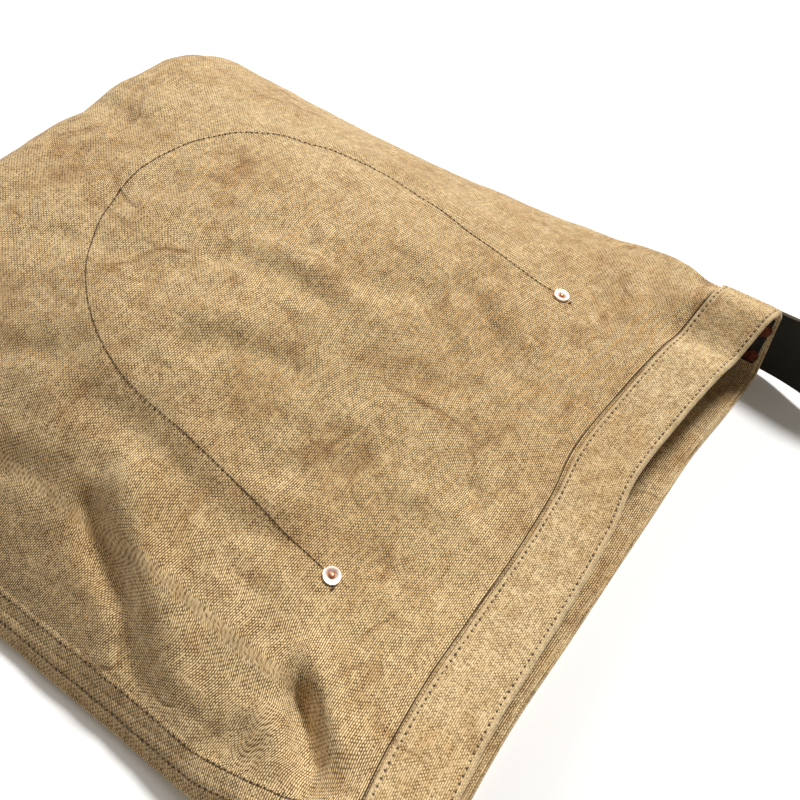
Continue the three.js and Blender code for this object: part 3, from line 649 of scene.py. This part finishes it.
def stitch_row(name, places, outwards, length_share, radius_m, sink_m, material):
    """One row: a rounded thread lies between each place and the next."""
    verts, faces = [], []
    for a, b, up in zip(places[:-1], places[1:], (outwards[:-1] + outwards[1:]) / 2):
        run = b - a
        run_length = np.linalg.norm(run)
        run = run / run_length
        up = unit(up - run * np.dot(up, run))
        side = np.cross(run, up)
        centre = (a + b) / 2 + up * (radius_m - sink_m)
        shape = (centre + thread_co[:, :1] * side * radius_m + thread_co[:, 1:2] * up * radius_m
                 + thread_co[:, 2:] * run * run_length * length_share / 2)
        shape[:, 2] = np.maximum(shape[:, 2], floor_gap)
        start = len(verts)
        verts.extend(shape.tolist())
        faces.extend([tuple(start + k for k in face) for face in thread_faces])
    piece = mesh_piece(name, verts, [], faces)
    close_mesh()
    bpy.ops.object.shade_smooth()
    piece.data.materials.append(material)
    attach(piece, "root")


def spaced(line, outward, pitch_m):
    """Places at a regular pitch along a line, with their outward directions."""
    run = run_lengths(line[None], 1)[0]
    count = max(int(run[-1] / pitch_m), 2)
    marks = np.linspace(0, run[-1], count + 1)
    places = np.stack([np.interp(marks, run, line[:, k]) for k in range(3)], -1)
    ups = np.stack([np.interp(marks, run, outward[:, k]) for k in range(3)], -1)
    return places, unit(ups)


def hole_shade_discs(name, places, outwards, radius_m, material):
    """Flat dark discs of painted shade for the needle holes, of slightly different size, one at the end
    of each stitch.
    """
    corners = 8
    turns = np.linspace(0, 2 * math.pi, corners, endpoint=False)
    verts, faces = [], []
    for k, (place, up) in enumerate(zip(places, outwards)):
        wide = radius_m * (0.82 + 0.36 * (k * 37 % 17) / 17)
        side = unit(np.cross(up, (0.3, 0.9, 0.1)))
        other = np.cross(up, side)
        start = len(verts)
        ring = [place + up * 0.00002 + wide * (side * math.cos(t) + other * math.sin(t)) for t in turns]
        verts.extend([[p[0], p[1], max(p[2], floor_gap)] for p in ring + [place + up * 0.00006]])
        faces.extend([(start + c, start + (c + 1) % corners, start + corners) for c in range(corners)])
    piece = mesh_piece(name, verts, [], faces)
    piece.data.materials.append(material)
    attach(piece, "root")


def thread_material(name, light, dark):
    """Twisted sewing thread with fine strands."""
    n = MaterialNodes(name)
    place = n.add("ShaderNodeTexCoord").outputs["Object"]
    strands = n.noise(place, 2200.0, 1.0)[0]
    colour = n.mix(n.ramp(strands, 0.35, 0.65), dark, light)
    bump = n.add("ShaderNodeBump", Strength=0.4, Distance=0.0001, Height=strands).outputs[0]
    return n.surface(Base_Color=colour, Roughness=0.7, Normal=bump)


tan_thread = thread_material("tan_thread", (0.80, 0.62, 0.36, 1), (0.50, 0.35, 0.17, 1))
seam_thread = thread_material("seam_thread", (0.24, 0.15, 0.065, 1), (0.10, 0.06, 0.024, 1))
brown_thread = thread_material("brown_thread", (0.15, 0.085, 0.035, 1), (0.055, 0.028, 0.011, 1))
# Painted shade: near-black discs stand for the shade inside the needle holes
painted_hole_shade = thread_material("needle_hole", (0.085, 0.045, 0.016, 1), (0.035, 0.017, 0.006, 1))

for label, depth_mm, height_mm in (("rim", 1.9, 1.9), ("hem_edge", 28.4, 1.92)):
    line, outward = ring_frames(depth_mm)
    places, ups = spaced(line + outward * height_mm / 1000, outward, pitch_m=0.0031)
    stitch_row(f"{label}_stitches", places, ups, 0.5, 0.00034, 0.0003, tan_thread)
    hole_shade_discs(f"{label}_hole_shade_discs", places, ups, 0.00054, painted_hole_shade)

for label, inward_mm, height_mm, hole_m in (("outer_seam", 3.8, 0.9, 0.00058),
                                            ("middle_seam", 7.6, 0.62, 0.0003),
                                            ("inner_seam", 11.4, 0.52, 0.00058)):
    line, outward = front_place(np.full_like(seam_depths, inward_mm / 1000), seam_depths, from_near=True)
    places, ups = spaced(line + outward * height_mm / 1000, outward, pitch_m=0.0029)
    stitch_row(f"{label}_stitches", places, ups, 0.5, hole_m - 0.0002, hole_m * 0.6, seam_thread)
    hole_shade_discs(f"{label}_hole_shade_discs", places, ups, hole_m, painted_hole_shade)

pocket_side = [(pocket_width / 2 - pocket_taper * t, pocket_leg * t) for t in np.linspace(0, 1, 80)]
round_half = pocket_width / 2 - pocket_taper
pocket_round = [(round_half * math.cos(t), pocket_leg + round_half * math.sin(t))
                for t in np.linspace(0, math.pi, 120)[1:-1]]
pocket_path = np.array(pocket_side + pocket_round + [(-x, y) for x, y in reversed(pocket_side)])
line, outward = front_place(pocket_shift + pocket_path[:, 0], pocket_top + pocket_path[:, 1])
places, ups = spaced(line + outward * 0.00018, outward, pitch_m=0.0028)
stitch_row("pocket_stitches", places, ups, 0.62, 0.00031, 0.00014, brown_thread)
hole_shade_discs("pocket_hole_shade_discs", places, ups, 0.00034, painted_hole_shade)
# The thread's cut end shows beside each pocket rivet
for side, sign, across_m, depth_m in (("near", -1, -0.0040, -0.0038), ("far", 1, -0.0008, -0.0060)):
    nub = np.array([[sign * pocket_width / 2 + across_m - 0.0011, depth_m + 0.0004],
                    [sign * pocket_width / 2 + across_m + 0.0011, depth_m - 0.0004]])
    line, outward = front_place(pocket_shift + nub[:, 0], pocket_top + nub[:, 1])
    stitch_row(f"{side}_thread_nub", line, outward, 1.0, 0.00055, 0.0001, brown_thread)

# Strap
# One plain strip of dark smooth leather, 36 mm wide and 2.8 mm thick with raw cut edges. Its
# ends are riveted to the outside of the mouth corners, and it lies on its edge on the table.
strap_width, strap_thickness, strap_reach, strap_overlap = 0.0360, 0.0028, 0.320, 0.024
strap_seat, strap_draw = 0.0025, 0.0055
strap_lean, strap_lift, strap_rise = math.radians(66), 0.0030, 0.0028
leg_x, stands = [], []
for columns, sign in ((near_side, -1), (far_side, 1)):
    fold_x, lift, stand, _ = (float(k) for k in side_fold(np.array(0.0), *columns))
    lean = (hem_raise + lift - strap_width / 2 - strap_lift) / math.tan(stand)
    leg_x.append(sign * (fold_x - lean + strap_seat / math.sin(stand)))
    stands.append(stand)
middle_x, half_span = sum(leg_x) / 2, (leg_x[1] - leg_x[0]) / 2
mouth_y = -bag_depth / 2
strap_rows = []
for y in np.linspace(mouth_y + strap_overlap, mouth_y, 9)[:-1]:
    strap_rows.append((Vector((leg_x[1], y, 0)), Vector((0, -1, 0)), stands[1], 1, strap_lift))
for turn in np.linspace(0, math.pi, 241):
    out = strap_reach * math.sin(turn)
    sign, stand = (1, stands[1]) if turn < math.pi / 2 else (-1, stands[0])
    point = Vector((middle_x + half_span * math.cos(turn), mouth_y - out, 0))
    drawn = float(smooth_step(out, 0, 0.05) * (1 - smooth_step(out, 0.12, 0.30)))
    point.x -= sign * strap_draw * drawn
    tangent = Vector((-half_span * math.sin(turn), -strap_reach * math.cos(turn), 0)).normalized()
    stand += (strap_lean - stand) * float(smooth_step(out, 0, 0.060))
    lift = strap_lift + strap_rise * float(smooth_step(out, 0, 0.035))
    strap_rows.append((point, tangent, stand, sign, lift * (1 - float(smooth_step(out, 0.070, 0.170)))))
for y in np.linspace(mouth_y, mouth_y + strap_overlap, 9)[1:]:
    strap_rows.append((Vector((leg_x[0], y, 0)), Vector((0, 1, 0)), stands[0], -1, strap_lift))
strap_lines = []
for point, tangent, stand, sign, lift in strap_rows:
    wide = Vector((sign * math.cos(stand), 0, math.sin(stand)))
    wide = (wide - tangent * wide.dot(tangent)).normalized()
    face = tangent.cross(wide).normalized()
    point.z = strap_width / 2 * wide.z + abs(face.z) * strap_thickness / 2 + lift
    strap_lines.append([point + wide * w * strap_width / 2 for w in np.linspace(-1, 1, 9)])
strap_points = np.array([[p[:] for p in line] for line in strap_lines])
strap_uv = np.stack([run_lengths(strap_points, 1), run_lengths(strap_points, 0)], -1) * 1000
strap = cloth_grid("leather_strap", strap_points, strap_uv)
strap_body = strap.modifiers.new("leather", "SOLIDIFY")
strap_body.thickness, strap_body.offset, strap_body.material_offset_rim = strap_thickness, 0, 1
strap_edge = strap.modifiers.new("edges", "BEVEL")
strap_edge.width, strap_edge.segments, strap_edge.limit_method = 0.0005, 2, "ANGLE"


def leather_material(name, light, dark, roughness, pores_mm):
    """Smooth dark leather with fine grain, or its raw cut edge."""
    n = MaterialNodes(name)
    place = n.add("ShaderNodeTexCoord").outputs["Object"]
    cells = n.add("ShaderNodeTexVoronoi", {"feature": "DISTANCE_TO_EDGE"},
                  Vector=place, Scale=1000 / pores_mm).outputs[0]
    cloudy = n.noise(place, 70.0, 4.0)[0]
    colour = n.mix(n.ramp(cloudy, 0.35, 0.7), dark, light)
    grain = n.add("ShaderNodeBump", Strength=0.35, Distance=0.0002,
                  Height=n.ramp(cells, 0.0, 0.25)).outputs[0]
    gloss = n.add("ShaderNodeMapRange", Value=cloudy, To_Min=roughness - 0.06,
                  To_Max=roughness + 0.08).outputs[0]
    return n.surface(Base_Color=colour, Roughness=gloss, Normal=grain, Specular_IOR_Level=0.3)


strap_leather = leather_material("strap_leather", light=(0.020, 0.017, 0.010, 1),
                                 dark=(0.011, 0.0095, 0.006, 1), roughness=0.58, pores_mm=0.7)
cut_edge = leather_material("cut_edge", light=(0.115, 0.088, 0.045, 1),
                            dark=(0.055, 0.042, 0.022, 1), roughness=0.8, pores_mm=0.35)
for part in (strap_leather, cut_edge):
    strap.data.materials.append(part)
bpy.ops.object.modifier_apply(modifier="leather")
bpy.ops.object.modifier_apply(modifier="edges")
bpy.ops.object.shade_smooth_by_angle(angle=math.radians(35))
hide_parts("strap")
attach(strap, "root")

# Strap patches
# Small plates of the same leather inside the mouth corners, under the heads of the rivets.
for side, shift_m in (("near", 0), ("far", -0.0030)):
    bpy.ops.object.select_all(action="DESELECT")
    patch = frame["nodes"][f"{side}_strap_patch"].copy()
    patch.data = patch.data.copy()
    patch.name = patch.data.name = f"{side}_leather_patch"
    patch.hide_render = patch.hide_viewport = False
    patch.parent = None
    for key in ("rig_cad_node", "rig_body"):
        if key in patch:
            del patch[key]
    bpy.context.scene.collection.objects.link(patch)
    patch.select_set(True)
    bpy.context.view_layer.objects.active = patch
    bpy.ops.object.mode_set(mode="EDIT")
    bpy.ops.mesh.select_all(action="SELECT")
    bpy.ops.mesh.remove_doubles(threshold=0.00001)
    bpy.ops.mesh.dissolve_limited(angle_limit=math.radians(2))
    bpy.ops.object.mode_set(mode="OBJECT")
    patch_edge = patch.modifiers.new("edges", "BEVEL")
    patch_edge.width, patch_edge.segments, patch_edge.limit_method = 0.0003, 2, "ANGLE"
    bpy.ops.object.modifier_apply(modifier="edges")
    bpy.ops.object.shade_smooth_by_angle(angle=math.radians(35))
    patch.data.transform(Matrix.Translation((shift_m, 0, 0)))
    patch.data.materials.clear()
    patch.data.materials.append(strap_leather)
    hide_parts(f"{side}_strap_patch")
    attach(patch, "root")

# Rivets
# Solid copper rivets: the shank passes through all layers, a burr washer is pressed down on it
# and the cut end is peened over into a small dome. The flat head is on the other side.
burr_radius, burr_thickness, shank_radius, head_radius = 0.00425, 0.0010, 0.0015, 0.0040
rivet_gap, rivet_apart = 0.0003, 0.0170


def copper_material(name, light, dark, roughness):
    """Copper with fine scratches, in the colours given: bright, or dark as painted shade."""
    n = MaterialNodes(name)
    place = n.add("ShaderNodeTexCoord").outputs["Object"]
    stain = n.noise(place, 420.0, 3.0)[0]
    scratch = n.noise(place, 2600.0, 2.0)[0]
    colour = n.mix(n.ramp(stain, 0.4, 0.7), light, dark)
    bump = n.add("ShaderNodeBump", Strength=0.25, Distance=0.0001, Height=scratch).outputs[0]
    return n.surface(Base_Color=colour, Metallic=1.0, Roughness=roughness, Normal=bump)


burr_copper = copper_material("burr_copper", (0.98, 0.80, 0.72, 1), (0.90, 0.62, 0.50, 1), 0.42)
# Painted shade: this copper is darkened for the strap rivets, whose heads sit in the shade of the mouth
# corners
shaded_copper = copper_material("shaded_copper", (0.16, 0.045, 0.025, 1), (0.07, 0.02, 0.012, 1), 0.6)
shank_copper = copper_material("shank_copper", (0.62, 0.30, 0.18, 1), (0.40, 0.17, 0.09, 1), 0.45)


def turned_piece(name, outline, material, place, outward):
    """A round piece, spun from its outline of radius and height about the outward direction."""
    piece = mesh_piece(name, [(r, 0, h) for r, h in outline],
                       [(k, k + 1) for k in range(len(outline) - 1)], [])
    bpy.ops.object.mode_set(mode="EDIT")
    bpy.ops.mesh.select_all(action="SELECT")
    bpy.ops.mesh.spin(steps=40, angle=2 * math.pi, center=(0, 0, 0), axis=(0, 0, 1))
    bpy.ops.object.mode_set(mode="OBJECT")
    close_mesh(merge_m=0.00001)
    turn = Vector((0, 0, 1)).rotation_difference(Vector(outward)).to_matrix().to_4x4()
    piece.data.transform(Matrix.Translation(Vector(place)) @ turn)
    bpy.ops.object.shade_smooth_by_angle(angle=math.radians(40))
    piece.data.materials.append(material)
    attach(piece, "root")
    return piece


def copper_rivet(name, place, outward, inner_m, outer_m, node, shank_metal):
    """A rivet through all between inner_m inside the place and outer_m outside it."""
    base = outer_m + rivet_gap
    top = base + burr_thickness
    burr = turned_piece(f"{name}_burr", [
        (shank_radius, base), (burr_radius - 0.0002, base), (burr_radius, base + 0.0002),
        (burr_radius, top - 0.0003), (burr_radius - 0.0004, top), (shank_radius + 0.0005, top - 0.0001),
        (shank_radius, top - 0.0005), (shank_radius, base)], burr_copper, place, outward)
    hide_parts(node)
    head = -inner_m - rivet_gap
    turned_piece(f"{name}_shank", [
        (0, top + 0.0004), (0.0007, top + 0.00032), (0.0012, top + 0.0001), (0.0014, top - 0.0002),
        (0.0014, head), (head_radius, head), (head_radius, head - 0.0004),
        (head_radius * 0.82, head - 0.0011), (0, head - 0.0012)], shank_metal, place, outward)


for side, x in (("near", pocket_shift - pocket_width / 2), ("far", pocket_shift + pocket_width / 2)):
    place, outward = front_place(np.array(x), np.array(pocket_top))
    copper_rivet(f"{side}_pocket_rivet", place, outward, cloth + 0.0019, 0.0, f"{side}_pocket_rivet",
                 shank_copper)
for side, sign, columns in (("near", -1, near_side), ("far", 1, far_side)):
    fold_x, lift, stand, _ = (float(k) for k in side_fold(np.array(0.0), *columns))
    up = Vector((sign * math.cos(stand), 0, math.sin(stand)))
    outward = Vector((sign * math.sin(stand), 0, -math.cos(stand)))
    top = Vector((sign * fold_x, mouth_y + 0.0015, hem_raise + lift))
    for k, end in enumerate((-1, 1)):
        place = top + up * ((strap_width / 2 + strap_lift - top.z) / up.z + end * rivet_apart / 2)
        copper_rivet(f"{side}_strap_rivet_{k + 1}", place, outward, cloth + 0.0018, 0.0049,
                     f"{side}_strap_rivet_{k + 1}", shaded_copper)

# Floor
# A plain white table that is lit so brightly that it reads as white paper.
bpy.ops.object.select_all(action="DESELECT")
bpy.ops.mesh.primitive_plane_add(size=6, location=(0, 0, 0))
floor = bpy.context.object
floor.name = "floor"
floor_white = bpy.data.materials.new("floor_white")
floor_white.use_nodes = True
floor_shader = floor_white.node_tree.nodes["Principled BSDF"]
floor_shader.inputs["Base Color"].default_value = (0.96, 0.96, 0.96, 1)
floor_shader.inputs["Roughness"].default_value = 0.9
floor_shader.inputs["Specular IOR Level"].default_value = 0.1
floor.data.materials.append(floor_white)

# Light
# Daylight from the upper right, beyond the far side of the bag, a weak light from behind it
# and a weak warm light all round.
for name, size, watts, place in (("window", 0.80, 214, (2.89, -0.42, 3.30)),
                                 ("back_window", 1.2, 16, (0.5, 2.0, 1.5))):
    window_data = bpy.data.lights.new(name, "AREA")
    window_data.shape, window_data.size = "DISK", size
    window_data.energy = watts
    window = bpy.data.objects.new(name, window_data)
    bpy.context.scene.collection.objects.link(window)
    window.location = place
    window.rotation_euler = (-window.location).to_track_quat("-Z", "Y").to_euler()
world = bpy.data.worlds.new("studio")
bpy.context.scene.world = world
world.use_nodes = True
world.node_tree.nodes["Background"].inputs[0].default_value = (1, 0.92, 0.80, 1)
world.node_tree.nodes["Background"].inputs[1].default_value = 0.25
bpy.context.scene.view_settings.view_transform = "Standard"
